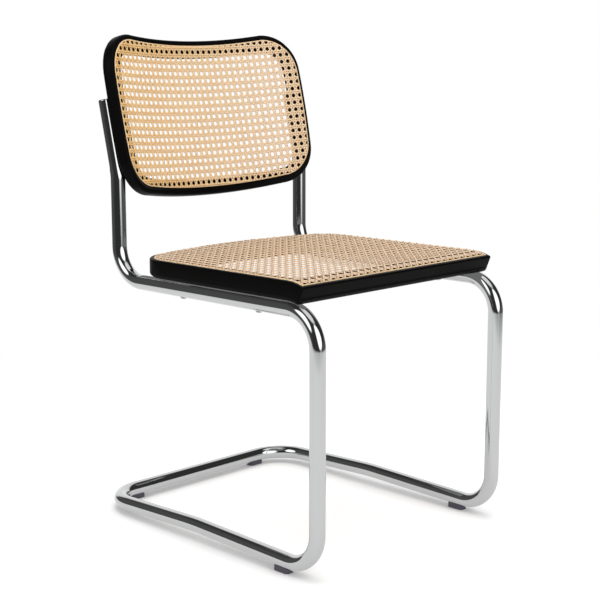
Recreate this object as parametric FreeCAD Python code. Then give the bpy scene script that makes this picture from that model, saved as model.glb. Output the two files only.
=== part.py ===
import FreeCAD, Part
import math
import os
from FreeCAD import Matrix, Vector

os.makedirs("parts", exist_ok=True)

# Cantilever chair in millimetres. While it is built, +Z is up, the sitter faces -Y, X runs across
# the chair and y = 0 is the axis of the front legs. The last step puts the origin on the floor
# under the middle of the chair.

# Width: the tube carries the seat and the back, so one width and these clearances set all three
seat_width = 456.0
tube_outside_seat = 0.25
back_inside_seat = 11.0

# Tube: one length of round steel, bent in one run from one upright's end to the other's
tube_d = 25.0
tube_wall = 2.0
leg_spacing = seat_width + 2 * tube_outside_seat - tube_d
seat_tube_z = 414.5
upright_y = 460.0
kink_z = 589.0
upright_end_z = 712.0
lean_deg = 13.3
bend_radius = 57.0
kink_radius = 60.0

# Floor loop: the rails rise a little to the arch point, then fall to the rear tube
front_rail_z = 16.5
arch_y = 278.0
arch_z = 25.0
arch_radius = 600.0
rear_tube_y = 516.5
rear_tube_z = 17.5
corner_radius = 66.5

# Pressed channel on the rear of each upright's end, where the back's screws sit
channel_length = 108.0
channel_radius = 10.5
channel_front_wall = 4.0
channel_lip = 3.5
channel_ramp_radius = 22.0
bore_stop_gap = 12.0
bore_flats = 8
bore_chord = 24.0

# Seat frame: a board bent down over the front bend, cut into four rails
seat_thickness = 30.5
seat_roll_deg = 22.0
seat_ahead_of_uprights = 29.0
seat_rear_y = upright_y - seat_ahead_of_uprights
seat_rear_bow = 37.5
seat_corner_radius = 68.0
seat_front_corner_radius = 4.0
seat_side_rail = 30.0
seat_rear_rail = 32.0
seat_front_rail = 40.0
seat_opening_radius = 18.0
seat_frame_to_reed = 6.5

# Back frame: a board bent to a cylinder and cut into two rails and two stiles
back_radius = 560.0
back_thickness = 23.0
back_ref_w = 96.0
back_width = seat_width - 2 * back_inside_seat
back_taper = -4.5
back_top_w = 132.5
back_top_dip = 5.8
back_bottom_w = 135.0
back_bottom_belly = 6.3
back_side_bulge = 1.5
back_top_corner = 72.0
back_bottom_corner = 67.5
back_stile = 26.0
back_top_rail = 31.0
back_bottom_rail = 28.0
back_opening_corner = 44.0
back_joint_from_side = 77.0
back_joint_x = back_width / 2 - back_joint_from_side
back_side_to_reed = 5.5
back_top_to_reed = 9.0
back_bottom_to_reed = 12.5
back_saddle_depth = 1.5

# Bevels that break the wood's outer edges
seat_edge_bevel = 1.6
back_front_bevel = 3.2
back_rear_bevel = 6.0

# Cane and the reed that holds it
cane_thickness = 1.2
reed_width = 3.2
reed_depth = 4.0
reed_crown = 1.6
net_pitch = 38.1
net_bar = 9.0
net_edge = 5.0

# Fasteners and joints
tenon_length = 34.0
seat_tenon_width = 18.0
seat_tenon_thickness = 8.0
back_tenon_width = 18.0
back_tenon_thickness = 7.0
seat_screw_y = (123.0, 297.5)
seat_screw_d = 5.0
seat_screw_bite = 20.0
seat_head_d = 10.5
seat_head_height = 2.2
back_screw_w = (-62.0, 8.0)
back_screw_d = 4.0
back_screw_bite = 13.0
back_head_d = 8.5
back_head_height = 2.6
screw_clearance = 0.2
saddle_clearance = 0.05
saddle_end_gap = 3.0

# Glides: pads between the tube and the floor
glide_length = 32.0
glide_width = 17.0
glide_grip = 5.5
glide_bevel = 4.0
glide_peg_d = 5.0
glide_peg_bite = 6.0
front_glide_y = 72.0
rear_glide_from_bend = 1.25
rear_glide_x = leg_spacing / 2 - corner_radius - rear_glide_from_bend
peg_clearance = 0.05

tube_r = tube_d / 2
bore_r = tube_r - tube_wall
half_spacing = leg_spacing / 2
lean = math.radians(lean_deg)
seat_bottom_z = seat_tube_z + tube_r
seat_top_z = seat_bottom_z + seat_thickness
SIDES = {"left": -1, "right": 1}


# Tube

def arc_round(before, corner, after, radius):
    """First point, middle point and last point of the bend at a corner of the route."""
    to_before = (before - corner).normalize()
    to_after = (after - corner).normalize()
    half_angle = to_before.getAngle(to_after) / 2
    reach = radius / math.tan(half_angle)
    bisector = (to_before + to_after).normalize()
    middle = corner + bisector * (radius / math.sin(half_angle) - radius)
    return corner + to_before * reach, middle, corner + to_after * reach


def bent_wire(points, radii):
    """Straight runs joined by tangent arcs, one radius for each inner point."""
    edges = []
    start = points[0]
    for index, radius in enumerate(radii, start=1):
        first, middle, last = arc_round(points[index - 1], points[index], points[index + 1], radius)
        edges.append(Part.LineSegment(start, first).toShape())
        edges.append(Part.Arc(first, middle, last).toShape())
        start = last
    edges.append(Part.LineSegment(start, points[-1]).toShape())
    return Part.Wire(edges)


def side_route(side, end_z):
    """Corners of the tube's route on one side, from its end to the rear floor tube."""
    x = side * half_spacing
    leaning_end = Vector(x, upright_y + (end_z - kink_z) * math.tan(lean), end_z)
    top = [leaning_end, Vector(x, upright_y, kink_z)] if end_z > kink_z else [Vector(x, upright_y, end_z)]
    return top + [
        Vector(x, upright_y, seat_tube_z),
        Vector(x, 0, seat_tube_z),
        Vector(x, 0, front_rail_z),
        Vector(x, arch_y, arch_z),
        Vector(x, rear_tube_y, rear_tube_z),
    ]


def whole_route(end_z):
    """The tube's centre line from one end to the other, with every bend in it."""
    left = side_route(-1, end_z)
    right = side_route(1, end_z)
    bends = [kink_radius] if end_z > kink_z else []
    bends += [bend_radius, bend_radius, bend_radius, arch_radius, corner_radius]
    return bent_wire(left + right[::-1], bends + bends[::-1])


def make_bar():
    """A round bar along the whole route."""
    route = whole_route(upright_end_z)
    start = route.OrderedEdges[0]
    section = Part.Wire(Part.makeCircle(tube_r, start.valueAt(start.FirstParameter),
                                        start.tangentAt(start.FirstParameter)))
    return route.makePipeShell([section], True, False)


def bore_section(point, along, across):
    """The bore's outline square to the route: eight flats that touch the bore's circle at their corners."""
    up = along.cross(across).normalize()
    across = up.cross(along).normalize()
    corners = []
    for index in range(bore_flats):
        angle = 2 * math.pi * (index + 0.5) / bore_flats
        corners.append(point + across * (bore_r * math.cos(angle)) + up * (bore_r * math.sin(angle)))
    return Part.makePolygon(corners + corners[:1])


def make_bore():
    """The hollow of the tube. Nothing sees it, so it has flats and short chords where the tube is round."""
    sections = []
    across = Vector(1, 0, 0)
    for edge in whole_route(kink_z - bore_stop_gap).OrderedEdges:
        curved = edge.Curve.TypeId == "Part::GeomCircle"
        steps = max(1, math.ceil(edge.Length / bore_chord)) if curved else 1
        for step in range(1 if sections else 0, steps + 1):
            parameter = edge.FirstParameter + (edge.LastParameter - edge.FirstParameter) * step / steps
            along = edge.tangentAt(parameter)
            across = (across - along * across.dot(along)).normalize()
            sections.append(bore_section(edge.valueAt(parameter), along, across))
    return Part.makeLoft(sections, True, True)


def upright_place(side):
    """Placement of the leaning end: local Z along the tube, local Y to the rear, origin at the kink."""
    turn = FreeCAD.Rotation(Vector(1, 0, 0), -lean_deg)
    return FreeCAD.Placement(Vector(side * half_spacing, upright_y, kink_z), turn)


def channel_cutter(side):
    """What the press takes out of the rear of an upright's end."""
    tip = (upright_end_z - kink_z) / math.cos(lean)
    start = tip - channel_length
    axis_y = channel_radius - (tube_r - channel_front_wall)
    trough = Part.makeCylinder(channel_radius, channel_length + tube_d, Vector(0, axis_y, start))
    trough = trough.fuse(Part.makeSphere(channel_radius, Vector(0, axis_y, start)))
    ramp_y = channel_lip + channel_ramp_radius
    lips = Part.makeBox(2 * tube_d, tube_d, channel_length + tube_d, Vector(-tube_d, channel_lip, start))
    ramp = Part.makeCylinder(channel_ramp_radius, 2 * tube_d, Vector(-tube_d, ramp_y, start), Vector(1, 0, 0))
    cutter = trough.fuse([lips, ramp])
    cutter.Placement = upright_place(side)
    return cutter


def make_tube():
    tube = make_bar().cut(make_bore())
    tube = tube.cut([channel_cutter(side) for side in SIDES.values()])
    holes = []
    for side in SIDES.values():
        for y in seat_screw_y:
            foot = Vector(side * half_spacing, y, seat_tube_z - tube_d)
            holes.append(Part.makeCylinder(seat_screw_d / 2 + screw_clearance, 2 * tube_d, foot))
        for w in back_screw_w:
            hole = Part.makeCylinder(back_screw_d / 2 + screw_clearance, tube_d, Vector(0, 0, w + back_ref_w),
                                     Vector(0, -1, 0))
            seat = Part.makeCylinder(back_head_d / 2 + screw_clearance, tube_d,
                                     Vector(0, back_head_seat(), w + back_ref_w), Vector(0, 1, 0))
            cutter = hole.fuse(seat)
            cutter.Placement = upright_place(side)
            holes.append(cutter)
    holes += [peg_cylinder(place, glide_peg_d / 2 + peg_clearance) for place in glide_places().values()]
    return tube.cut(holes)


# Seat frame

def seat_section(top, bottom, thickness_reach):
    """Side view of the bent board between two heights above its underside, as a face across X."""
    centre = Vector(0, bend_radius, seat_tube_z - bend_radius)
    inner = bend_radius + tube_r + bottom
    outer = bend_radius + tube_r + top
    roll = math.radians(seat_roll_deg)

    def on_arc(radius, angle):
        return centre + Vector(0, -math.sin(angle), math.cos(angle)) * radius

    far_y = seat_rear_y + thickness_reach
    edges = [
        Part.LineSegment(Vector(0, far_y, seat_bottom_z + bottom), on_arc(inner, 0)),
        Part.Arc(on_arc(inner, 0), on_arc(inner, roll / 2), on_arc(inner, roll)),
        Part.LineSegment(on_arc(inner, roll), on_arc(outer, roll)),
        Part.Arc(on_arc(outer, roll), on_arc(outer, roll / 2), on_arc(outer, 0)),
        Part.LineSegment(on_arc(outer, 0), Vector(0, far_y, seat_bottom_z + top)),
        Part.LineSegment(Vector(0, far_y, seat_bottom_z + top), Vector(0, far_y, seat_bottom_z + bottom)),
    ]
    return Part.Face(Part.Wire([edge.toShape() for edge in edges]))


def bent_board(top, bottom):
    """A layer of the seat as wide as the board, from `bottom` to `top` above its underside."""
    face = seat_section(top, bottom, tube_d)
    face.translate(Vector(-seat_width, 0, 0))
    return face.extrude(Vector(2 * seat_width, 0, 0))


def seat_plan(inset, front_y, front_radius):
    """Plan outline of the seat, moved in by `inset`: straight front and sides, bowed rear."""
    half = seat_width / 2 - inset
    rear = seat_rear_y - inset
    bow = seat_rear_bow
    rear_radius = (half ** 2 + bow ** 2) / (2 * bow)
    rear_centre = Vector(0, rear - rear_radius, 0)
    corner = seat_corner_radius - inset
    corner_x = half - corner
    corner_y = rear_centre.y + math.sqrt((rear_radius - corner) ** 2 - corner_x ** 2)
    edges = []

    def corner_points(sign):
        centre = Vector(sign * corner_x, corner_y, 0)
        outward = (centre - rear_centre).normalize()
        side_point = centre + Vector(sign * corner, 0, 0)
        rear_point = centre + outward * corner
        middle = centre + (outward + Vector(sign, 0, 0)).normalize() * corner
        return side_point, middle, rear_point

    side_l, mid_l, rear_l = corner_points(-1)
    side_r, mid_r, rear_r = corner_points(1)
    front = front_y
    r = front_radius
    diag = r * (1 - math.sqrt(0.5))
    edges.append(Part.LineSegment(Vector(-half + r, front, 0), Vector(half - r, front, 0)))
    edges.append(Part.Arc(Vector(half - r, front, 0), Vector(half - diag, front + diag, 0),
                          Vector(half, front + r, 0)))
    edges.append(Part.LineSegment(Vector(half, front + r, 0), side_r))
    edges.append(Part.Arc(side_r, mid_r, rear_r))
    edges.append(Part.Arc(rear_r, Vector(0, rear, 0), rear_l))
    edges.append(Part.Arc(rear_l, mid_l, side_l))
    edges.append(Part.LineSegment(side_l, Vector(-half, front + r, 0)))
    edges.append(Part.Arc(Vector(-half, front + r, 0), Vector(-half + diag, front + diag, 0),
                          Vector(-half + r, front, 0)))
    return Part.Wire([edge.toShape() for edge in edges])


def seat_front_y(inset):
    """Where the rolled top surface ends, `inset` back along its arc."""
    outer = bend_radius + tube_r + seat_thickness
    angle = math.radians(seat_roll_deg) - inset / outer
    return bend_radius - outer * math.sin(angle)


def seat_prism(wire):
    """A plan outline as a tall block through the whole seat."""
    face = Part.Face(wire)
    face.translate(Vector(0, 0, seat_bottom_z - tube_d * 2))
    return face.extrude(Vector(0, 0, seat_thickness + tube_d * 4))


def seat_opening():
    """The hole in the seat frame that the cane spans."""
    half = seat_width / 2 - seat_side_rail
    front = seat_front_y(0) + seat_front_rail
    rear = seat_rear_y - seat_rear_rail
    bow = seat_rear_bow * (half / (seat_width / 2)) ** 2
    corners = [Vector(-half, front, 0), Vector(half, front, 0), Vector(half, rear - bow, 0)]
    corners += [Vector(0, rear, 0), Vector(-half, rear - bow, 0)]
    edges = [Part.LineSegment(corners[0], corners[1]).toShape(), Part.LineSegment(corners[1], corners[2]).toShape()]
    edges.append(Part.Arc(corners[2], corners[3], corners[4]).toShape())
    edges.append(Part.LineSegment(corners[4], corners[0]).toShape())
    prism = seat_prism(Part.Wire(edges))
    upright_edges = [edge for edge in prism.Edges if edge_is_upright(edge)]
    return prism.makeFillet(seat_opening_radius, upright_edges)


def edge_is_upright(edge):
    direction = edge.Vertexes[-1].Point - edge.Vertexes[0].Point
    return direction.Length > 0 and abs(direction.z) > 0.99 * direction.Length


def seat_reed(extra):
    """The reed's band round the seat, or its groove when `extra` is nought."""
    inset = seat_frame_to_reed
    outer_wire = seat_plan(inset, seat_front_y(inset), max(seat_front_corner_radius - inset, 2.0) + 4.0)
    inner_inset = inset + reed_width
    inner_wire = seat_plan(inner_inset, seat_front_y(inner_inset), 3.0)
    band = seat_prism(outer_wire).cut(seat_prism(inner_wire))
    return band.common(bent_board(seat_thickness + extra, seat_thickness - reed_depth))


def make_seat_frame():
    """The rails of the seat: one bent board, cut apart after its edges are bevelled and its holes made."""
    board = bent_board(seat_thickness, 0)
    board = board.common(seat_prism(seat_plan(0, -seat_width, seat_front_corner_radius))).Solids[0]
    front_corners = [edge for edge in board.Edges if edge_is_front_corner(edge)]
    board = board.makeFillet(seat_front_corner_radius, front_corners)
    rims = [edge for edge in board.Edges if edge_is_rim(edge)]
    board = board.makeChamfer(seat_edge_bevel, rims)
    pilots = []
    for side in SIDES.values():
        for y in seat_screw_y:
            pilots.append(Part.makeCylinder(seat_screw_d / 2, seat_screw_bite + tube_d,
                                            Vector(side * half_spacing, y, seat_bottom_z - tube_d)))
    return split_seat(board.cut([seat_opening(), seat_reed(0)] + pilots + seat_tenons()))


def edge_is_front_corner(edge):
    """The short edges where the board's front face meets its sides."""
    centre = edge.CenterOfMass
    at_side = abs(abs(centre.x) - seat_width / 2) < 0.01
    direction = edge.Vertexes[-1].Point - edge.Vertexes[0].Point
    steep = abs(direction.z) > 0.8 * direction.Length
    return at_side and steep and centre.y < bend_radius


def edge_is_rim(edge):
    """Edges round the board's top and bottom, on its outer side."""
    direction = edge.Vertexes[-1].Point - edge.Vertexes[0].Point
    if direction.Length > 0 and abs(direction.z) > 0.8 * direction.Length:
        return False
    centre = edge.CenterOfMass
    across = abs(direction.x) > seat_width * 0.75
    at_front_tangent = across and abs(centre.y - bend_radius) < 0.01
    return not at_front_tangent


def seat_joint_y():
    """Planes of the joints: the rolled front rail ends at one and the rear rail at the other."""
    rear_half = seat_width / 2
    rear_radius = (rear_half ** 2 + seat_rear_bow ** 2) / (2 * seat_rear_bow)
    corner_x = rear_half - seat_corner_radius
    corner_y = seat_rear_y - rear_radius + math.sqrt((rear_radius - seat_corner_radius) ** 2 - corner_x ** 2)
    return seat_front_y(0) + seat_front_rail, corner_y


def seat_tenons():
    """A loose tenon across each of the four joints of the seat frame."""
    tenons = []
    mid_x = seat_width / 2 - seat_side_rail / 2
    z = seat_bottom_z + seat_thickness * 0.42
    for joint_y in seat_joint_y():
        for side in SIDES.values():
            corner = Vector(side * mid_x - seat_tenon_width / 2, joint_y - tenon_length / 2,
                            z - seat_tenon_thickness / 2)
            tenons.append(Part.makeBox(seat_tenon_width, tenon_length, seat_tenon_thickness, corner))
    return tenons


def split_seat(frame):
    """Cut the frame into its front, rear, left and right rails."""
    front_joint, rear_joint = seat_joint_y()
    size = 3 * seat_width
    base = Vector(-size / 2, front_joint - size, -size / 2)
    front_half = Part.makeBox(size, size, 2 * size, base)
    rear_half = Part.makeBox(size, size, 2 * size, Vector(-size / 2, rear_joint, -size / 2))
    between = frame.cut([front_half, rear_half])
    left = Part.makeBox(size, size * 2, 2 * size, Vector(-size, -size / 2, -size / 2))
    return {
        "seat_front_rail": frame.common(front_half),
        "seat_rear_rail": frame.common(rear_half),
        "seat_left_rail": between.common(left),
        "seat_right_rail": between.cut(left),
    }


# Nets: a sheet with square gaps on the cane's double pitch

def net_holes(half_width, low, high, inside):
    """Faces of the gaps whose corners all pass the `inside` test, centred across the sheet."""
    gap = net_pitch - net_bar
    columns = int(half_width // net_pitch) + 1
    rows = int((high - low) // net_pitch) + 1
    middle = (low + high) / 2
    faces = []
    for i in range(-columns, columns + 1):
        for j in range(-rows, rows + 1):
            x = i * net_pitch
            y = middle + j * net_pitch
            corners = [Vector(x + a * gap / 2, y + b * gap / 2, 0)
                       for a, b in ((-1, -1), (1, -1), (1, 1), (-1, 1))]
            if all(inside(corner) for corner in corners):
                faces.append(Part.makePolygon(corners + corners[:1]))
    return faces


def inside_face(wire, margin):
    """A test for points at least `margin` inside a flat outline."""
    face = Part.Face(wire)

    def test(point):
        return face.isInside(point, 0.01, True) and wire.distToShape(Part.Vertex(point))[0] > margin

    return test


def make_seat_cane():
    inset = seat_frame_to_reed + reed_width
    outline = seat_plan(inset, seat_front_y(inset), 3.0)
    test = inside_face(outline, net_edge)
    gaps = net_holes(seat_width / 2, seat_front_y(0), seat_rear_y, test)
    print("seat cane gaps:", len(gaps))
    sheet = Part.makeFace([outline] + gaps, "Part::FaceMakerBullseye")
    sheet.translate(Vector(0, 0, seat_bottom_z - tube_d * 2))
    prism = sheet.extrude(Vector(0, 0, seat_thickness + tube_d * 4))
    return prism.common(bent_board(seat_thickness + cane_thickness, seat_thickness))


# Back frame. Its own axes: X across, Y to the rear square to the lean, Z up along the lean, with
# the origin on the uprights' axis plane, back_ref_w above the kink. The board is bent about an
# upright line in front of it, and its edges are cut towards that line.

def back_place():
    turn = FreeCAD.Rotation(Vector(1, 0, 0), -lean_deg)
    offset = turn.multVec(Vector(0, 0, back_ref_w))
    return FreeCAD.Placement(Vector(0, upright_y, kink_z) + offset, turn)


def bend_line_distance():
    """From the uprights' axis plane forward to the line that the board is bent about."""
    reach = back_radius + back_thickness + tube_r - back_saddle_depth
    return math.sqrt(reach ** 2 - half_spacing ** 2)


def on_board(x, depth):
    """Local Y of the board's surface at x, `depth` behind its front face."""
    return math.sqrt((back_radius + depth) ** 2 - x ** 2) - bend_line_distance()


def back_layer(front, rear):
    """A bent layer from `front` to `rear` behind the board's front face."""
    low = Vector(0, -bend_line_distance(), -back_width)
    outer = Part.makeCylinder(back_radius + rear, 2 * back_width, low)
    inner = Part.makeCylinder(back_radius + front, 2 * back_width, low)
    return outer.cut(inner)


def back_outline(side_in, top_in, bottom_in, corner_in):
    """Outline of the back as seen square to a stile, moved in on each side."""
    top_half = (back_width - back_taper) / 2 - side_in
    bottom_half = back_width / 2 - side_in
    top = back_top_w - top_in
    bottom = -back_bottom_w + bottom_in
    top_corner = max(back_top_corner - corner_in, 4.0)
    bottom_corner = max(back_bottom_corner - corner_in, 4.0)
    corners = [Vector(-bottom_half, 0, bottom), Vector(bottom_half, 0, bottom)]
    corners += [Vector(top_half, 0, top + back_top_dip), Vector(-top_half, 0, top + back_top_dip)]
    radii = [bottom_corner, bottom_corner, top_corner, top_corner]
    cuts = []
    for index, corner in enumerate(corners):
        before = corners[index - 1]
        after = corners[(index + 1) % 4]
        cuts.append(arc_round(before, corner, after, radii[index]))
    bends = [Vector(0, 0, bottom - back_bottom_belly), Vector(bottom_half, 0, 0), Vector(0, 0, top)]
    bends.append(Vector(-bottom_half, 0, 0))
    edges = []
    for index in range(4):
        start = cuts[index][2]
        end = cuts[(index + 1) % 4][0]
        edges.append(Part.Arc(cuts[index][0], cuts[index][1], start).toShape())
        middle = (start + end) * 0.5
        if index % 2 == 0:
            middle.z = bends[index].z
        else:
            middle.x += math.copysign(back_side_bulge, middle.x)
        edges.append(Part.Arc(start, middle, end).toShape())
    return Part.Wire(edges)


def back_block(wire):
    """The outline swept to and from the bend line, so that every edge points at that line."""
    near = 0.8
    far = 1.35
    ends = []
    for share in (near, far):
        squeeze = Matrix()
        squeeze.A11 = share
        squeeze.A24 = stile_depth() * share - bend_line_distance()
        ends.append(wire.transformGeometry(squeeze))
    return Part.makeLoft(ends, True, True)


def make_back_frame():
    """The rails and stiles of the back: one bent board, cut apart, bevelled, grooved and morticed."""
    opening = back_outline(back_stile, back_top_rail, back_bottom_rail, back_top_corner - back_opening_corner)
    board = back_layer(0, back_thickness).common(back_block(back_outline(0, 0, 0, 0)))
    board = board.cut(back_block(opening))
    cutters = back_tenons() + [back_reed(0)]
    pieces = {}
    half_way = back_outline(back_stile / 2, back_top_rail / 2, back_bottom_rail / 2, back_stile / 2)
    half_way.rotate(Vector(0, 0, 0), Vector(1, 0, 0), -90)
    inner_half = Part.Face(half_way)
    for name, piece in split_back(board).items():
        for depth, bevel in ((back_thickness, back_rear_bevel), (0, back_front_bevel)):
            edges = [edge for edge in piece.Edges if is_outer_back_edge(edge, depth, inner_half)]
            piece = piece.makeChamfer(bevel, edges)
        pieces[name] = piece.cut(cutters).Solids[0]
    return pieces


def stile_depth():
    """From the bend line to the plane in which the outline is drawn, where the stiles' edges meet it."""
    return math.sqrt(back_radius ** 2 - (back_width / 2) ** 2)


def is_outer_back_edge(edge, depth, inner_half):
    """Whether an edge follows the board's outline at a depth behind its front face."""
    for vertex in edge.Vertexes:
        reach = math.hypot(vertex.Point.x, vertex.Point.y + bend_line_distance())
        if abs(reach - back_radius - depth) > 0.01:
            return False
    middle = edge.valueAt((edge.FirstParameter + edge.LastParameter) / 2)
    turn = math.atan2(middle.x, middle.y + bend_line_distance())
    at_joint = abs(abs(turn) - math.asin(back_joint_x / back_radius)) < 1e-4
    drawn = Vector(stile_depth() * math.tan(turn), middle.z, 0)
    return not at_joint and not inner_half.isInside(drawn, 0.01, True)


def back_reed(extra):
    """The reed's band round the back, or its groove when `extra` is nought."""
    outer = back_outline(back_side_to_reed, back_top_to_reed, back_bottom_to_reed, back_side_to_reed)
    inner = back_outline(back_side_to_reed + reed_width, back_top_to_reed + reed_width,
                         back_bottom_to_reed + reed_width, back_side_to_reed + reed_width)
    return back_layer(-extra, reed_depth).common(back_block(outer).cut(back_block(inner)))


def back_tenons():
    """A loose tenon across each of the four joints of the back frame."""
    tenons = []
    angle = math.degrees(math.asin(back_joint_x / back_radius))
    depth = back_thickness * 0.6
    rows = [back_top_w - back_top_rail / 2 - 2, -back_bottom_w + back_bottom_rail / 2]
    for side in SIDES.values():
        for row in rows:
            x = side * back_joint_x * (back_radius + depth) / back_radius
            corner = Vector(-tenon_length / 2, -back_tenon_thickness / 2, -back_tenon_width / 2)
            tenon = Part.makeBox(tenon_length, back_tenon_thickness, back_tenon_width, corner)
            tenon.rotate(Vector(0, 0, 0), Vector(0, 0, 1), -side * angle)
            tenon.translate(Vector(x, on_board(x, depth), row))
            tenons.append(tenon)
    return tenons


def split_back(frame):
    """Cut the frame into its rails and stiles with planes through the bend line."""
    angle = math.degrees(math.asin(back_joint_x / back_radius))
    size = 4 * back_width
    pieces = {}
    wedge = Part.makeCylinder(size, size, Vector(0, -bend_line_distance(), -size / 2), Vector(0, 0, 1), 2 * angle)
    wedge.rotate(Vector(0, -bend_line_distance(), 0), Vector(0, 0, 1), 90 - angle)
    rails = frame.common(wedge)
    stiles = frame.cut(wedge)
    upper = Part.makeBox(size, size, size, Vector(-size / 2, -size / 2, 0))
    right = Part.makeBox(size, size, size, Vector(0, -size / 2, -size / 2))
    pieces["back_top_rail"] = rails.common(upper)
    pieces["back_bottom_rail"] = rails.cut(upper)
    pieces["back_right_stile"] = stiles.common(right)
    pieces["back_left_stile"] = stiles.cut(right)
    return {name: piece.Solids[0] for name, piece in pieces.items()}


def make_back_cane():
    inset = reed_width
    outline = back_outline(back_side_to_reed + inset, back_top_to_reed + inset, back_bottom_to_reed + inset,
                           back_side_to_reed + inset)
    turned = outline.copy()
    turned.rotate(Vector(0, 0, 0), Vector(1, 0, 0), -90)
    test = inside_face(turned, net_edge)
    gaps = net_holes(back_width / 2, -back_bottom_w + back_bottom_to_reed, back_top_w - back_top_to_reed, test)
    print("back cane gaps:", len(gaps))
    flat = Part.makeFace([turned] + gaps, "Part::FaceMakerBullseye")
    flat.rotate(Vector(0, 0, 0), Vector(1, 0, 0), 90)
    flat.translate(Vector(0, -back_width / 2, 0))
    prism = flat.extrude(Vector(0, back_width, 0))
    return prism.common(back_layer(-cane_thickness, 0))


def seat_stiles_on_tube(pieces):
    """Cut each stile's saddle round the tube, and the pilot holes of its screws."""
    radius = tube_r + saddle_clearance
    tip_w = (upright_end_z - kink_z) / math.cos(lean) - back_ref_w
    for name, side in (("back_left_stile", -1), ("back_right_stile", 1)):
        low = Vector(side * half_spacing, 0, -back_width)
        cutters = [Part.makeCylinder(radius, back_width + tip_w + saddle_end_gap, low)]
        for w in back_screw_w:
            cutters.append(Part.makeCylinder(back_screw_d / 2, tube_r + back_screw_bite,
                                             Vector(side * half_spacing, 0, w), Vector(0, -1, 0)))
        pieces[name] = pieces[name].cut(cutters)


# Fasteners and glides

def back_head_seat():
    """Local Y of the flat that each back screw's head sits on, in the channel's floor."""
    floor = channel_front_wall - tube_r
    half_head = back_head_d / 2 + screw_clearance
    return floor + channel_radius - math.sqrt(channel_radius ** 2 - half_head ** 2)


def flat_head(diameter, height, base, direction):
    """A low head: a disc with its outer edge bevelled."""
    rim = height * 0.45
    disc = Part.makeCylinder(diameter / 2, height - rim, base, direction)
    top = base + direction * (height - rim)
    return disc.fuse(Part.makeCone(diameter / 2, diameter / 2 - rim, rim, top, direction))


def make_back_screws():
    screws = []
    for side in SIDES.values():
        for w in back_screw_w:
            x = side * half_spacing
            base = Vector(x, back_head_seat(), w)
            head = flat_head(back_head_d, back_head_height, base, Vector(0, 1, 0))
            length = back_head_seat() + tube_r + back_screw_bite
            shank = Part.makeCylinder(back_screw_d / 2, length, base, Vector(0, -1, 0))
            screws.append(head.fuse(shank))
    group = Part.makeCompound(screws)
    group.Placement = back_place()
    return group


def make_seat_screws():
    screws = []
    for side in SIDES.values():
        x = side * half_spacing
        tube = Part.makeCylinder(tube_r, 4 * tube_d, Vector(x, 0, seat_tube_z), Vector(0, 1, 0))
        for y in seat_screw_y:
            tube.Placement.Base.y = y - 2 * tube_d
            rise = tube_r - math.sqrt(tube_r ** 2 - (seat_head_d / 2) ** 2)
            base = Vector(x, y, seat_tube_z - tube_r + rise)
            head = flat_head(seat_head_d, seat_head_height + rise, base, Vector(0, 0, -1)).cut(tube)
            start = Vector(x, y, seat_tube_z - tube_r - seat_head_height / 2)
            shank = Part.makeCylinder(seat_screw_d / 2, seat_head_height / 2 + tube_d + seat_screw_bite, start)
            screws.append(head.fuse(shank))
    return Part.makeCompound(screws)


def rail_height(y):
    """Height of a side rail's axis at y, ahead of the arch."""
    return front_rail_z + (arch_z - front_rail_z) * y / arch_y


def glide_places():
    """Centre of the tube above each glide, and the tube's direction there."""
    slope = Vector(0, arch_y, arch_z - front_rail_z).normalize()
    places = {}
    for name, side in SIDES.items():
        centre = Vector(side * half_spacing, front_glide_y, rail_height(front_glide_y))
        places["glide_front_" + name] = (centre, slope)
        places["glide_rear_" + name] = (Vector(side * rear_glide_x, rear_tube_y, rear_tube_z), Vector(1, 0, 0))
    return places


def peg_cylinder(place, radius):
    """The glide's peg, or the tube's hole for it."""
    centre, along = place
    foot_z = centre.z - tube_r - 1.0
    return Part.makeCylinder(radius, glide_peg_bite + 1.0, Vector(centre.x, centre.y, foot_z))


def make_glide(place):
    """A pad with a flat foot, hollowed to the tube, with its peg in the tube's wall."""
    centre, along = place
    flat = Vector(along.x, along.y, 0).normalize()
    across = Vector(-flat.y, flat.x, 0)
    size = flat * glide_length + across * glide_width
    low = Vector(centre.x, centre.y, 0) - size * 0.5
    corner = Vector(min(low.x, low.x + size.x), min(low.y, low.y + size.y), 0)
    pad = Part.makeBox(abs(size.x), abs(size.y), centre.z - tube_r + glide_grip, corner)
    upright = [edge for edge in pad.Edges if edge_is_upright(edge)]
    pad = pad.makeChamfer(glide_bevel, upright)
    start = centre - along * glide_length
    tube = Part.makeCylinder(tube_r, 2 * glide_length, start, along)
    peg = peg_cylinder(place, glide_peg_d / 2)
    return pad.cut(tube).fuse(peg).removeSplitter()


def build():
    nodes = {"tube_frame": make_tube()}
    nodes.update(make_seat_frame())
    nodes["seat_corner_tenons"] = Part.makeCompound(seat_tenons())
    nodes["seat_cane"] = make_seat_cane()
    nodes["seat_spline"] = seat_reed(reed_crown)
    back = make_back_frame()
    seat_stiles_on_tube(back)
    back["back_corner_tenons"] = Part.makeCompound(back_tenons())
    back["back_cane"] = make_back_cane()
    back["back_spline"] = back_reed(reed_crown)
    for name, shape in back.items():
        shape.Placement = back_place().multiply(shape.Placement)
        nodes[name] = shape
    nodes["seat_screws"] = make_seat_screws()
    nodes["back_screws"] = make_back_screws()
    for name, place in glide_places().items():
        nodes[name] = make_glide(place)
    return nodes


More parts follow.
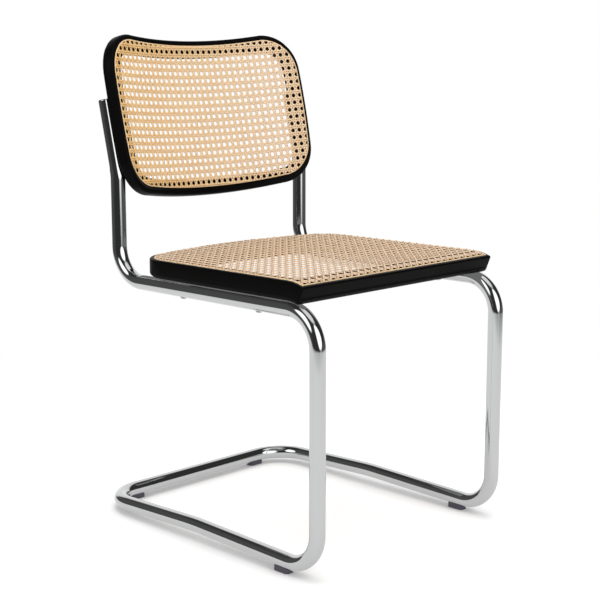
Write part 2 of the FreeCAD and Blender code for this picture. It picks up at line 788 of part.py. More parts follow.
def export(nodes):
    """Put the origin under the middle of the chair and write one file for each node."""
    box = FreeCAD.BoundBox()
    for shape in nodes.values():
        box.add(shape.optimalBoundingBox(False))
    middle = Vector(-(box.XMin + box.XMax) / 2, -(box.YMin + box.YMax) / 2, -box.ZMin)
    print("shift to the origin:", middle, "size:", box.XLength, box.YLength, box.ZLength)
    for name, shape in nodes.items():
        shape.translate(middle)
        solids = shape.Solids
        if not shape.isValid() or not solids:
            print("BAD", name)
        placed = solids[0] if len(solids) == 1 else Part.makeCompound(solids)
        placed.exportStep("parts/" + name + ".step")
        print(name, len(solids), round(shape.Volume), shape.isValid())


export(build())
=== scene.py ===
# %% [markdown]
# A cantilever chair stands on one long bent tube. The chair has no rear legs: the tube runs from one side of
# the back down to the seat, forward, round to the floor and back again, so the seat hangs over the floor loop.
# The solid model gives the shapes and how they meet. This lesson dresses it: each code cell adds one piece or
# one finish, and the cell before it says what the real thing is and why it is made this way.

# %% Load the solid model
import math
import random

import bmesh
import bpy
from mathutils import Matrix, Vector


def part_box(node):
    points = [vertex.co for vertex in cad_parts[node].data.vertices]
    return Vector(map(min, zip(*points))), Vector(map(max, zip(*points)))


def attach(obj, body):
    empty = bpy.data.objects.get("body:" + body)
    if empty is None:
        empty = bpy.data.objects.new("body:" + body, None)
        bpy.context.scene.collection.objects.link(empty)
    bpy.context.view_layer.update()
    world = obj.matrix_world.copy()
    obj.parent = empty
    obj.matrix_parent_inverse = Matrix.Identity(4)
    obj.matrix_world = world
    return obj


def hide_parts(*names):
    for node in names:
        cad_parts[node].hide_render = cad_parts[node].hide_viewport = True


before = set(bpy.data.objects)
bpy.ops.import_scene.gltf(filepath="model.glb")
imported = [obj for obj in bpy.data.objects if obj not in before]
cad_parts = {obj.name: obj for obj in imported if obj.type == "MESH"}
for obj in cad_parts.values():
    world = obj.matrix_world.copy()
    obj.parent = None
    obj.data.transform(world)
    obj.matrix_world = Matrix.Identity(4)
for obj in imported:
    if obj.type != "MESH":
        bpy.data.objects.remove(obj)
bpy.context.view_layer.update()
MM = 0.001

# %% [markdown]
# Blender works in metres and this chair was measured in millimetres, so lengths below are in millimetres and MM
# turns them to metres where a mesh is made. The front legs' axis is the zero for depth: everything on the chair
# hangs from that tube. Its place is read from the solid model, so nothing here can drift away from it.

# %% Measures of the chair
TUBE_R = 12.5
LEG_X = 215.75
LEG_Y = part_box("tube_frame")[0].y / MM + TUBE_R
SEAT_TUBE_Z = 414.5
UPRIGHT_Y = 460.0
KINK_Z = 589.0
TIP_Z = 712.0
LEAN = math.radians(13.3)
BEND_R = 57.0
SEAT_TOP = 457.5
SEAT_THICK = 30.5
print("front legs' axis at y =", round(LEG_Y, 2), "mm")

# %% [markdown]
# A colour picked from a picture is written in sRGB, which is not linear: half the number is not half the light.
# Blender's shaders want linear values, so one function does the turning for every colour in the lesson.

# %% Colours and nodes
def srgb(code):
    """A colour such as "#C3C4C4" as the linear red, green, blue, alpha that a shader wants."""
    channels = [int(code[i:i + 2], 16) / 255 for i in (1, 3, 5)]
    return [c / 12.92 if c <= 0.04045 else ((c + 0.055) / 1.055) ** 2.4 for c in channels] + [1.0]


def add_node(tree, kind, inputs=None, **settings):
    """Add a node. Each input is a value, or another node's output to link from."""
    made = tree.nodes.new(kind)
    for name, value in settings.items():
        setattr(made, name, value)
    for name, value in (inputs or {}).items():
        if isinstance(value, bpy.types.NodeSocket):
            tree.links.new(value, made.inputs[name])
        else:
            made.inputs[name].default_value = value
    return made


def new_finish(name):
    """An empty material with its output, ready for nodes."""
    finish = bpy.data.materials.new(name)
    finish.use_nodes = True
    finish.node_tree.nodes.clear()
    out = add_node(finish.node_tree, "ShaderNodeOutputMaterial")
    return finish, finish.node_tree, out


print("mid grey in linear light:", [round(v, 3) for v in srgb("#808080")[:3]])

# %% [markdown]
# The camera comes before the pieces, so that every first look is already the right view. A long lens from a
# little under the top of the back keeps the legs nearly upright. The lens shift stands for a picture that was
# cropped off centre.

# %% Camera
FRAME_PX, FOCAL_PX, SENSOR_MM = 600, 1383.0, 36.0
CENTRE_PX = (263.1, 317.5)
PAN, TILT, ROLL = -44.10, 10.73, -0.310
CAMERA_X, BEFORE_LEGS, CAMERA_Z = -1649.3, 1364.9, 783.5
lens = bpy.data.cameras.new("view")
lens.sensor_width = SENSOR_MM
lens.lens = SENSOR_MM * FOCAL_PX / FRAME_PX
lens.shift_x = 0.5 - CENTRE_PX[0] / FRAME_PX
lens.shift_y = CENTRE_PX[1] / FRAME_PX - 0.5
lens.clip_end = 60.0
camera = bpy.data.objects.new("view", lens)
turn = Matrix.Rotation(math.radians(PAN), 4, "Z") @ Matrix.Rotation(math.radians(90 - TILT), 4, "X")
turn = turn @ Matrix.Rotation(math.radians(ROLL), 4, "Z")
place = Vector((CAMERA_X, LEG_Y - BEFORE_LEGS, CAMERA_Z)) * MM
camera.matrix_world = Matrix.Translation(place) @ turn
bpy.context.scene.collection.objects.link(camera)
bpy.context.scene.camera = camera
print("lens", round(lens.lens, 2), "mm, shift", round(lens.shift_x, 4), round(lens.shift_y, 4))

# %% [markdown]
# Polished chromium plate is a mirror with a faint grey-blue cast. It gives back only a little over half of the
# light, which is why chrome looks darker than silver beside white. Its colour below is that share, and almost
# all of its look comes from what stands round it. Buffing is never quite even, so the roughness drifts a little
# from one hand's width to the next.

# %% Chromium plate
def chromium_plate():
    finish, tree, out = new_finish("chromium plate on drawn steel")
    where = add_node(tree, "ShaderNodeTexCoord")
    drift_mm = 40.0
    stretch = add_node(tree, "ShaderNodeMapping", {
        "Vector": where.outputs["Object"], "Scale": [1000 / drift_mm] * 3})
    haze = add_node(tree, "ShaderNodeTexNoise", {"Vector": stretch.outputs[0], "Scale": 1.0, "Detail": 3.0})
    rough = add_node(tree, "ShaderNodeMapRange", {"Value": haze.outputs[0], "To Min": 0.05, "To Max": 0.075})
    shader = add_node(tree, "ShaderNodeBsdfPrincipled", {
        "Base Color": srgb("#C4C5C5"), "Metallic": 1.0, "Roughness": rough.outputs[0]})
    tree.links.new(shader.outputs[0], out.inputs[0])
    return finish


CHROME = chromium_plate()
print("made", CHROME.name)

# %% [markdown]
# The frames are beech, bent and planed, under satin black lacquer. Lacquer fills most of the pores, so the
# grain shows only as faint long dashes in the sheen. A stretched noise gives them: it moves the colour, the
# roughness and a small bump together. The picture's frames give back almost no light, so the specular level is
# far below a glossy lacquer's. Beech pores are about 0.1 mm wide and a few millimetres long. That is too fine
# to show at this size, so the dashes are drawn 0.7 mm wide and 25 mm long.

# %% Black lacquer on beech
def black_lacquer():
    finish, tree, out = new_finish("satin black lacquer on beech")
    where = add_node(tree, "ShaderNodeUVMap")
    dash_mm, length_mm = 0.7, 25.0
    stretch = add_node(tree, "ShaderNodeMapping", {
        "Vector": where.outputs[0], "Scale": (1000 / length_mm, 1000 / dash_mm, 1.0)})
    grain = add_node(tree, "ShaderNodeTexNoise", {
        "Vector": stretch.outputs[0], "Scale": 1.0, "Detail": 4.0, "Roughness": 0.6})
    tone = add_node(tree, "ShaderNodeMix", {"Factor": grain.outputs[0]}, data_type="RGBA")
    tone.inputs[6].default_value = srgb("#060505")
    tone.inputs[7].default_value = srgb("#0B0A09")
    rough = add_node(tree, "ShaderNodeMapRange", {"Value": grain.outputs[0], "To Min": 0.36, "To Max": 0.5})
    dents = add_node(tree, "ShaderNodeBump", {"Height": grain.outputs[0], "Strength": 0.12, "Distance": 0.0002})
    shader = add_node(tree, "ShaderNodeBsdfPrincipled", {
        "Base Color": tone.outputs[2], "Roughness": rough.outputs[0], "Normal": dents.outputs[0],
        "Specular IOR Level": 0.04})
    tree.links.new(shader.outputs[0], out.inputs[0])
    return finish


LACQUER = black_lacquer()
print("made", LACQUER.name)

# %% [markdown]
# Chair cane is the shiny skin of the rattan vine, split into strands 2 to 3 mm wide. Each strand keeps a little
# of its own colour, from straw to honey, and fine fibres run along it. The strands below carry a flat map whose
# first number runs along the strand in metres and whose second runs across it, so fibres can be drawn along
# each strand at a real scale. The back is honey at one side and pale at the other, where it catches the sheen
# of the soft light to the right of the camera. That sheen is painted into its colour, which fades to pale straw
# across the chair. Reed, the core of the same vine, is the strip that locks the cane in its groove.

# %% Cane and reed
def rattan(name, dark, light, fibre_mm, shine, sheen_paint=0.0):
    """Strands between two colours. The last argument is a painted sheen: how far they turn to pale straw towards
    +X.
    """
    finish, tree, out = new_finish(name)
    where = add_node(tree, "ShaderNodeUVMap")
    patch_mm, fibre_length_mm = 90.0, 14.0
    patch_map = add_node(tree, "ShaderNodeMapping", {
        "Vector": where.outputs[0], "Scale": (1000 / patch_mm, 1000 / patch_mm, 1.0)})
    patches = add_node(tree, "ShaderNodeTexNoise", {"Vector": patch_map.outputs[0], "Scale": 1.0, "Detail": 2.0})
    fibre_map = add_node(tree, "ShaderNodeMapping", {
        "Vector": where.outputs[0], "Scale": (1000 / fibre_length_mm, 1000 / fibre_mm, 1.0)})
    fibres = add_node(tree, "ShaderNodeTexNoise", {
        "Vector": fibre_map.outputs[0], "Scale": 1.0, "Detail": 3.0, "Roughness": 0.65})
    both = add_node(tree, "ShaderNodeMath", {0: patches.outputs[0], 1: fibres.outputs[0]}, operation="ADD")
    spread = add_node(tree, "ShaderNodeMapRange", {
        "Value": both.outputs[0], "From Min": 0.7, "From Max": 1.3})
    tone = add_node(tree, "ShaderNodeMix", {"Factor": spread.outputs[0]}, data_type="RGBA")
    tone.inputs[6].default_value = srgb(dark)
    tone.inputs[7].default_value = srgb(light)
    place = add_node(tree, "ShaderNodeTexCoord")
    place = add_node(tree, "ShaderNodeSeparateXYZ", {0: place.outputs["Object"]})
    # Painted sheen: towards +X the colour is mixed towards pale straw, standing in for the soft light shining on
    # that side.
    fade_from, fade_to = -200 * MM, 150 * MM
    fade = add_node(tree, "ShaderNodeMapRange", {
        "Value": place.outputs[0], "From Min": fade_from, "From Max": fade_to, "To Max": sheen_paint})
    straw = add_node(tree, "ShaderNodeMix", {"Factor": fade.outputs[0]}, data_type="RGBA")
    tree.links.new(tone.outputs[2], straw.inputs[6])
    straw.inputs[7].default_value = srgb("#FBE3C8")
    dents = add_node(tree, "ShaderNodeBump", {
        "Height": fibres.outputs[0], "Strength": 0.25, "Distance": 0.0001})
    shader = add_node(tree, "ShaderNodeBsdfPrincipled", {
        "Base Color": straw.outputs[2], "Roughness": shine, "Normal": dents.outputs[0], "IOR": 1.5})
    tree.links.new(shader.outputs[0], out.inputs[0])
    return finish


# The back's last number, 0.65, is its painted sheen.
CANE_BACK = rattan("rattan cane, honey", "#F0B362", "#FFDB98", 0.35, 0.42, 0.65)
CANE_SEAT = rattan("rattan cane, straw", "#DEB78E", "#F1D6B7", 0.35, 0.42)
REED = rattan("rattan reed", "#EBC48F", "#FADDB4", 0.5, 0.55)
print("made", CANE_BACK.name, "+", CANE_SEAT.name, "+", REED.name)

# %% [markdown]
# Three small finishes remain. The glides are moulded polyamide, a tough matt plastic with a fine spark texture
# of about 0.3 mm. The screws are zinc-plated steel, duller and bluer than chrome. The loose tenons in the
# corners are bare beech that nobody sees, but a part that is taken apart should not show grey there.

# %% Plastic, zinc and bare beech
def glide_plastic():
    finish, tree, out = new_finish("moulded polyamide, spark texture")
    where = add_node(tree, "ShaderNodeTexCoord")
    grit_mm = 0.3
    spark = add_node(tree, "ShaderNodeTexNoise", {
        "Vector": where.outputs["Object"], "Scale": 1000 / grit_mm, "Detail": 2.0})
    dents = add_node(tree, "ShaderNodeBump", {"Height": spark.outputs[0], "Strength": 0.3, "Distance": 0.0001})
    shader = add_node(tree, "ShaderNodeBsdfPrincipled", {
        "Base Color": srgb("#4A4550"), "Roughness": 0.62, "Normal": dents.outputs[0]})
    tree.links.new(shader.outputs[0], out.inputs[0])
    return finish


def zinc_plate():
    finish, tree, out = new_finish("zinc plate on steel")
    where = add_node(tree, "ShaderNodeTexCoord")
    bloom_mm = 1.5
    bloom = add_node(tree, "ShaderNodeTexNoise", {"Vector": where.outputs["Object"], "Scale": 1000 / bloom_mm})
    rough = add_node(tree, "ShaderNodeMapRange", {"Value": bloom.outputs[0], "To Min": 0.22, "To Max": 0.38})
    shader = add_node(tree, "ShaderNodeBsdfPrincipled", {
        "Base Color": srgb("#C6CACD"), "Metallic": 1.0, "Roughness": rough.outputs[0]})
    tree.links.new(shader.outputs[0], out.inputs[0])
    return finish


def bare_beech():
    finish, tree, out = new_finish("planed beech")
    where = add_node(tree, "ShaderNodeTexCoord")
    fleck_mm = 1.2
    stretch = add_node(tree, "ShaderNodeMapping", {
        "Vector": where.outputs["Object"], "Scale": (1000 / fleck_mm, 1000 / (8 * fleck_mm), 1000 / fleck_mm)})
    flecks = add_node(tree, "ShaderNodeTexNoise", {"Vector": stretch.outputs[0], "Scale": 1.0})
    tone = add_node(tree, "ShaderNodeMix", {"Factor": flecks.outputs[0]}, data_type="RGBA")
    tone.inputs[6].default_value = srgb("#B98F63")
    tone.inputs[7].default_value = srgb("#DDBB90")
    shader = add_node(tree, "ShaderNodeBsdfPrincipled", {"Base Color": tone.outputs[2], "Roughness": 0.7})
    tree.links.new(shader.outputs[0], out.inputs[0])
    return finish


POLYAMIDE, ZINC, BEECH = glide_plastic(), zinc_plate(), bare_beech()
print("made", POLYAMIDE.name, "+", ZINC.name, "+", BEECH.name)

# %% [markdown]
# Every surface here is a grid of points: rows that go one way and stations that go the other. One function
# turns such a grid into a mesh and writes a flat map in real metres on it, so that grain and fibres keep their
# scale.

# %% Grid to mesh
def grid_mesh(name, rows, finish, close_rows=False, close_stations=False, caps=False):
    """Build a mesh from rows of points in millimetres. Rows and stations may each close into a loop."""
    count = len(rows[0])
    points = [p * MM for row in rows for p in row]
    row_steps = len(rows) if close_rows else len(rows) - 1
    steps = count if close_stations else count - 1
    faces, maps = [], []
    along = [0.0]
    for i in range(count):
        along.append(along[-1] + (rows[0][(i + 1) % count] - rows[0][i]).length * MM)
    across = [0.0]
    for r in range(len(rows)):
        across.append(across[-1] + (rows[(r + 1) % len(rows)][0] - rows[r][0]).length * MM)
    for r in range(row_steps):
        q = (r + 1) % len(rows)
        for i in range(steps):
            j = (i + 1) % count
            faces.append((r * count + i, r * count + j, q * count + j, q * count + i))
            maps += [(along[i], across[r]), (along[i + 1], across[r]),
                     (along[i + 1], across[r + 1]), (along[i], across[r + 1])]
    if caps:
        for station in (0, count - 1):
            ring = [r * count + station for r in range(len(rows))]
            faces.append(ring if station else ring[::-1])
            maps += [(p.x * MM, p.z * MM) for p in (rows[r][station] for r in range(len(rows)))]
    mesh = bpy.data.meshes.new(name)
    mesh.from_pydata(points, [], faces)
    flat = mesh.uv_layers.new(name="UVMap")
    for loop, value in zip(flat.data, maps):
        loop.uv = value
    mesh.shade_smooth()
    mesh.materials.append(finish)
    mesh.update()
    piece = bpy.data.objects.new(name, mesh)
    bpy.context.scene.collection.objects.link(piece)
    return piece


def face_outward(piece):
    """Turn all faces of a closed piece the same way, outward."""
    work = bmesh.new()
    work.from_mesh(piece.data)
    bmesh.ops.recalc_face_normals(work, faces=work.faces)
    work.to_mesh(piece.data)
    work.free()
    return piece


print("grid_mesh is ready")

# %% [markdown]
# The tube is one length of 25 mm steel with twelve bends. A Blender curve with a round bevel would give the
# same runs, but its bends would not be true arcs, and a mirror finish shows every lump. So the centre line is
# worked out as straight runs and exact arcs, and a ring of points is carried along it without twisting. The
# floor rails bow up a little in the middle, so that the chair stands on its glides.

# %% The tube's centre line
def arc_at(before, corner, after, radius, step_deg):
    """Points on the arc that rounds one corner."""
    a, b = (before - corner).normalized(), (after - corner).normalized()
    half = a.angle(b) / 2
    reach = radius / math.tan(half)
    centre = corner + (a + b).normalized() * (radius / math.sin(half))
    start = corner + a * reach - centre
    swing = math.pi - 2 * half
    axis = start.cross(corner - centre).normalized()
    steps = max(2, math.ceil(math.degrees(swing) / step_deg))
    return [centre + Matrix.Rotation(swing * i / steps, 3, axis) @ start for i in range(steps + 1)]


KINK_R, BOW_R, REAR_R = 60.0, 600.0, 66.5
FRONT_FLOOR, BOW, REAR_FLOOR = (0, 16.5), (278.0, 25.0), (516.5, 17.5)
ARC_DEG, BOW_DEG, TIP_STEPS = 2.5, 0.4, 60


def side_corners(side):
    """The corners of one side's run, from the upright's tip down to the rear floor tube."""
    x = side * LEG_X
    tip_y = UPRIGHT_Y + (TIP_Z - KINK_Z) * math.tan(LEAN)
    places = [(tip_y, TIP_Z), (UPRIGHT_Y, KINK_Z), (UPRIGHT_Y, SEAT_TUBE_Z), (0, SEAT_TUBE_Z), FRONT_FLOOR, BOW,
              REAR_FLOOR]
    return [Vector((x, LEG_Y + y, z)) for y, z in places]


corners = side_corners(-1) + side_corners(1)[::-1]
radii = [KINK_R, BEND_R, BEND_R, BEND_R, BOW_R, REAR_R]
radii += radii[::-1]
arcs = [arc_at(corners[i - 1], corners[i], corners[i + 1], radius, BOW_DEG if radius == BOW_R else ARC_DEG)
        for i, radius in enumerate(radii, start=1)]
line = [corners[0].lerp(arcs[0][0], t / TIP_STEPS) for t in range(TIP_STEPS)]
for arc in arcs:
    line += arc
line += [arcs[-1][-1].lerp(corners[-1], t / TIP_STEPS) for t in range(1, TIP_STEPS + 1)]
length = sum((q - p).length for p, q in zip(line, line[1:]))
print("tube:", len(line), "stations,", round(length), "mm long")

# %% [markdown]
# Near its tip each upright is pressed: the rear half of the tube is pushed in, which leaves a channel for the
# screws that hold the back. Over the lowest 24 mm of the channel, the section changes from a ring to a thick
# crescent. The same number of points is used for both shapes, so one can be blended into the other.

# %% The tube
RING, FOLD = 44, 28
LIP, CHANNEL_R, CHANNEL_OFF = 3.5, 10.5, 2.0
PRESS_LENGTH, PRESS_FADE = 118.0, 24.0


def tube_section(press):
    """Points round the tube's section: across it, and towards the sitter. press runs from 0, round, to 1."""
    lip = math.asin(LIP / TUBE_R)
    fold = math.asin((LIP - CHANNEL_OFF) / CHANNEL_R)
    points = []
    for i in range(RING):
        angle = -lip + (math.pi + 2 * lip) * i / (RING - 1)
        points.append((TUBE_R * math.cos(angle), TUBE_R * math.sin(angle)))
    for i in range(FOLD):
        share = (i + 0.5) / FOLD
        rear = math.pi + lip + (math.pi - 2 * lip) * share
        inner = math.pi + fold - (math.pi + 2 * fold) * share
        full = (TUBE_R * math.cos(rear), TUBE_R * math.sin(rear))
        cut = (CHANNEL_R * math.cos(inner), CHANNEL_R * math.sin(inner) - CHANNEL_OFF)
        points.append([f + (c - f) * press for f, c in zip(full, cut)])
    return points


def press_at(travel):
    """How far the tube is pressed in at a distance from its nearer tip."""
    t = min(1.0, max(0.0, (PRESS_LENGTH - travel) / PRESS_FADE))
    return t * t * (3 - 2 * t)


stations, across, travelled = [], Vector((1, 0, 0)), 0.0
for i, point in enumerate(line):
    ahead = (line[min(i + 1, len(line) - 1)] - line[max(i - 1, 0)]).normalized()
    across = (across - ahead * across.dot(ahead)).normalized()
    toward = ahead.cross(across)
    travelled += (point - line[i - 1]).length if i else 0.0
    section = tube_section(press_at(min(travelled, length - travelled)))
    stations.append([point + across * a + toward * b for a, b in section])
rows = [[station[k] for station in stations] for k in range(RING + FOLD)]
tube = face_outward(grid_mesh("chromed_tube", rows, CHROME, close_rows=True, caps=True))
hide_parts("tube_frame")
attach(tube, "root")
print("tube faces:", len(tube.data.polygons))

# %% [markdown]
# Both frames are boards that were bent and then cut out, so each is drawn flat first and bent afterwards. The
# seat is flat with a front edge that rolls down over the tube's bend. An outline on the flat board is a front,
# two sides and a bowed rear with rounded corners. Drawn with the same number of points at any inset, outlines
# can be joined to each other, which is how the edge, the groove and the opening are all made.

# %% Seat outline and bend
SEAT_HALF, SEAT_REAR, SEAT_BOW, ROLL_DEG = 228.0, 431.0, 37.5, 22.0
SEAT_CORNER, SEAT_NOSE, SHARPEST = 68.0, 4.0, 0.8
FRONT_STEPS, NOSE_STEPS, SIDE_STEPS, CORNER_STEPS, REAR_STEPS = 48, 10, 30, 16, 48
ROLL_IN = BEND_R + TUBE_R
ROLL_OUT = ROLL_IN + SEAT_THICK
SEAT_FRONT = BEND_R - math.radians(ROLL_DEG) * ROLL_OUT


def seat_outline(inset, front_r=None, rear_r=None, front=None, half=None, rear=None):
    """The seat's outline on the flat board, moved in by inset: across, and from front to rear."""
    half = SEAT_HALF - inset if half is None else half
    rear = SEAT_REAR - inset if rear is None else rear
    front = SEAT_FRONT + inset if front is None else front
    r_f = max(SEAT_NOSE - inset, SHARPEST) if front_r is None else front_r
    r_r = SEAT_CORNER - inset if rear_r is None else rear_r
    big = (half ** 2 + SEAT_BOW ** 2) / (2 * SEAT_BOW)
    cx = half - r_r
    cy = rear - big + math.sqrt((big - r_r) ** 2 - cx ** 2)
    swing = math.atan2(cy - (rear - big), cx)
    nose_turns = [math.pi / 2 * i / NOSE_STEPS for i in range(NOSE_STEPS)]
    corner_turns = [swing * i / CORNER_STEPS for i in range(CORNER_STEPS)]
    rear_turns = [swing + (math.pi - 2 * swing) * i / REAR_STEPS for i in range(REAR_STEPS)]
    middle = FRONT_STEPS // 2
    points = [(x * (half - r_f) / middle, front) for x in range(-middle, middle)]
    points += [(half - r_f + r_f * math.sin(a), front + r_f - r_f * math.cos(a)) for a in nose_turns]
    points += [(half, front + r_f + (cy - front - r_f) * i / SIDE_STEPS) for i in range(SIDE_STEPS)]
    points += [(cx + r_r * math.cos(a), cy + r_r * math.sin(a)) for a in corner_turns]
    points += [(big * math.cos(a), rear - big + big * math.sin(a)) for a in rear_turns]
    points += [(-cx - r_r * math.cos(swing - a), cy + r_r * math.sin(swing - a)) for a in corner_turns]
    points += [(-half, cy + (front + r_f - cy) * i / SIDE_STEPS) for i in range(SIDE_STEPS)]
    points += [(-half + r_f - r_f * math.cos(a), front + r_f - r_f * math.sin(a)) for a in nose_turns]
    return points


def seat_point(x, run, depth):
    """Bend the flat board: run goes from front to rear, and depth is the height over the underside."""
    if run >= BEND_R:
        return Vector((x, LEG_Y + run, SEAT_TOP - SEAT_THICK + depth))
    angle = (BEND_R - run) / ROLL_OUT
    radius = ROLL_IN + depth
    forward, up = radius * math.sin(angle), radius * math.cos(angle)
    return Vector((x, LEG_Y + BEND_R - forward, SEAT_TUBE_Z - BEND_R + up))


print("seat front edge:", [round(v, 1) for v in seat_point(0, SEAT_FRONT, SEAT_THICK)])

# %% [markdown]
# A frame's section is a rectangle with softly rounded outer edges, a groove for the reed and small eased inner
# edges. Each corner of that section is one row: an outline at some inset and depth. Going round the section row
# by row, and round the outline station by station, gives the whole frame as one closed surface.

# %% Frame section
REED_W, GROOVE = 2.8, 4.0
EASE, HALF_EASE, ROUND_STEPS = 1.2, 0.35, 7


def frame_rows(rim, reed_line, opening, bend, thick, groove, front_r, rear_r):
    """Rows of points for a frame: its outer edge, its front face with the groove, its opening and its rear."""
    turns = [math.pi / 2 * i / ROUND_STEPS for i in range(ROUND_STEPS + 1)]
    section = [(rim(rear_r * (1 - math.sin(a))), rear_r * (1 - math.cos(a))) for a in turns]
    section += [(rim(front_r * (1 - math.cos(a))), thick - front_r * (1 - math.sin(a))) for a in turns]
    for inset, depth in ((groove, thick), (groove, thick - GROOVE), (groove + REED_W, thick - GROOVE),
                         (groove + REED_W, thick)):
        section.append((reed_line(inset), depth))
    for ease, depth in ((EASE, thick), (HALF_EASE, thick - HALF_EASE), (0.0, thick - EASE), (0.0, EASE),
                        (HALF_EASE, HALF_EASE), (EASE, 0)):
        section.append((opening(-ease), depth))
    return [[bend(a, b, depth) for a, b in shape] for shape, depth in section]


def seat_opening(inset):
    """The opening under the cane: the rails are 30 mm wide at the sides, 32 at the rear and 40 at the front."""
    return seat_outline(0, front_r=18.0, rear_r=30.0, front=SEAT_FRONT + 40.0 + inset,
                        half=SEAT_HALF - 30.0 - inset, rear=SEAT_REAR - 32.0 - inset)


SEAT_GROOVE, TOP_ROUND, UNDER_ROUND = 6.5, 3.0, 7.0
rows = frame_rows(seat_outline, seat_outline, seat_opening, seat_point, SEAT_THICK, SEAT_GROOVE, TOP_ROUND,
                  UNDER_ROUND)
seat_frame = face_outward(grid_mesh("seat_frame", rows, LACQUER, close_rows=True, close_stations=True))
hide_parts("seat_front_rail", "seat_rear_rail", "seat_left_rail", "seat_right_rail")
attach(seat_frame, "root")
print("seat frame faces:", len(seat_frame.data.polygons))

# %% [markdown]
# The back is bent to a cylinder about a line in front of it, parallel to the lean of the uprights. On the flat
# board its outline is wider than high, with big soft corners, a top edge that dips a little in the middle and a
# bottom edge that bellies down. Its edges stay square to the bent surface, so they all point at the bend line.

# %% Back outline and bend
BACK_R, BACK_THICK, REF_W, SADDLE = 560.0, 23.0, 96.0, 1.5
BEND_LINE = math.sqrt((BACK_R + BACK_THICK + TUBE_R - SADDLE) ** 2 - LEG_X ** 2)
BACK_TOP, BACK_BOTTOM, TOP_HALF, BOTTOM_HALF = 132.5, -135.0, 219.25, 217.0
STILE_DEPTH = math.sqrt(BACK_R ** 2 - BOTTOM_HALF ** 2)
TOP_DIP, BELLY, SIDE_BOW = 5.8, 6.3, 1.5
TOP_CORNER, BOTTOM_CORNER, TURN_STEPS = 72.0, 67.5, 14


def side_run(start, end, sag, steps):
    """Points from start towards end on a shallow bow. sag moves the middle of the run."""
    return [(start[0] + (end[0] - start[0]) * t + 4 * t * (1 - t) * sag[0],
             start[1] + (end[1] - start[1]) * t + 4 * t * (1 - t) * sag[1])
            for t in (i / steps for i in range(steps))]


def back_outline(side_in, top_in, bottom_in, corner_in):
    """The back's outline on the flat board, moved in by its own amount on each side: across, and up."""
    top_half, bottom_half = TOP_HALF - side_in, BOTTOM_HALF - side_in
    top, bottom = BACK_TOP - top_in + TOP_DIP, BACK_BOTTOM + bottom_in
    places = [(-bottom_half, bottom), (bottom_half, bottom), (top_half, top), (-top_half, top)]
    places = [Vector((a, b, 0)) for a, b in places]
    rounds = [BOTTOM_CORNER - corner_in] * 2 + [TOP_CORNER - corner_in] * 2
    arcs = [arc_at(places[i - 1], places[i], places[(i + 1) % 4], rounds[i], 90 / TURN_STEPS) for i in range(4)]
    arcs = [[arc[round(k * (len(arc) - 1) / TURN_STEPS)] for k in range(TURN_STEPS + 1)] for arc in arcs]
    sags = [(0, -BELLY), (SIDE_BOW, 0), (0, -TOP_DIP), (-SIDE_BOW, 0)]
    level_steps, upright_steps = 48, 26
    points = []
    for i in range(4):
        points += [(p.x, p.y) for p in arcs[i][:-1]]
        start, end = arcs[i][-1], arcs[(i + 1) % 4][0]
        points += side_run(start, end, sags[i], upright_steps if i % 2 else level_steps)
    return points


def back_point(x, up, depth):
    """Bend the flat board and lean it back. depth is the distance in front of its rear face."""
    turn = math.atan2(x, STILE_DEPTH)
    radius = BACK_R + BACK_THICK - depth
    rear, height = radius * math.cos(turn) - BEND_LINE, up + REF_W
    return Vector((radius * math.sin(turn), LEG_Y + UPRIGHT_Y + rear * math.cos(LEAN) + height * math.sin(LEAN),
                   KINK_Z + height * math.cos(LEAN) - rear * math.sin(LEAN)))


def back_rim(inset):
    """The outer edge, moved in evenly."""
    return back_outline(inset, inset, inset, inset)


def back_reed_line(inset):
    """The reed keeps a wider border at the top and the bottom than at the sides."""
    return back_outline(inset, inset + 3.5, inset + 7.0, inset)


def back_opening(inset):
    """The opening behind the cane, inside rails and stiles 26 to 28 mm wide."""
    return back_outline(26.0 + inset, 28.0 + inset, 27.0 + inset, 28.0 + inset)


BACK_GROOVE, FACE_ROUND, REAR_ROUND = 5.5, 4.5, 9.0
rows = frame_rows(back_rim, back_reed_line, back_opening, back_point, BACK_THICK, BACK_GROOVE, FACE_ROUND,
                  REAR_ROUND)
back_frame = face_outward(grid_mesh("back_frame", rows, LACQUER, close_rows=True, close_stations=True))
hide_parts("back_top_rail", "back_bottom_rail", "back_left_stile", "back_right_stile")
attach(back_frame, "root")
print("back frame faces:", len(back_frame.data.polygons))

# %% [markdown]
# The cane is a sheet woven by machine and sold by the metre: pairs of strands run up and across, about half an
# inch apart, and single strands cross them on both diagonals, which leaves eight-sided holes. One way to show
# it is a flat sheet with a printed pattern, but light has to fall through the holes and each strand throws a
# small shadow, so every strand is made. A strand is a thin ribbon that rises and dips in a wave as it goes over
# and under.

# %% One strand
random.seed(7)
RIBBON = ((-0.5, 0.0), (0.0, 0.5), (0.5, 0.0), (0.0, -0.5))


def crossings(outline, origin, way):
    """Where a straight line enters and leaves a closed outline, as distances along it."""
    hits = []
    side = (-way[1], way[0])
    for (ax, ay), (bx, by) in zip(outline, outline[1:] + outline[:1]):
        da = (ax - origin[0]) * side[0] + (ay - origin[1]) * side[1]
        db = (bx - origin[0]) * side[0] + (by - origin[1]) * side[1]
        if (da > 0) != (db > 0):
            t = da / (da - db)
            x, y = ax + (bx - ax) * t, ay + (by - ay) * t
            hits.append((x - origin[0]) * way[0] + (y - origin[1]) * way[1])
    hits.sort()
    return list(zip(hits[::2], hits[1::2]))


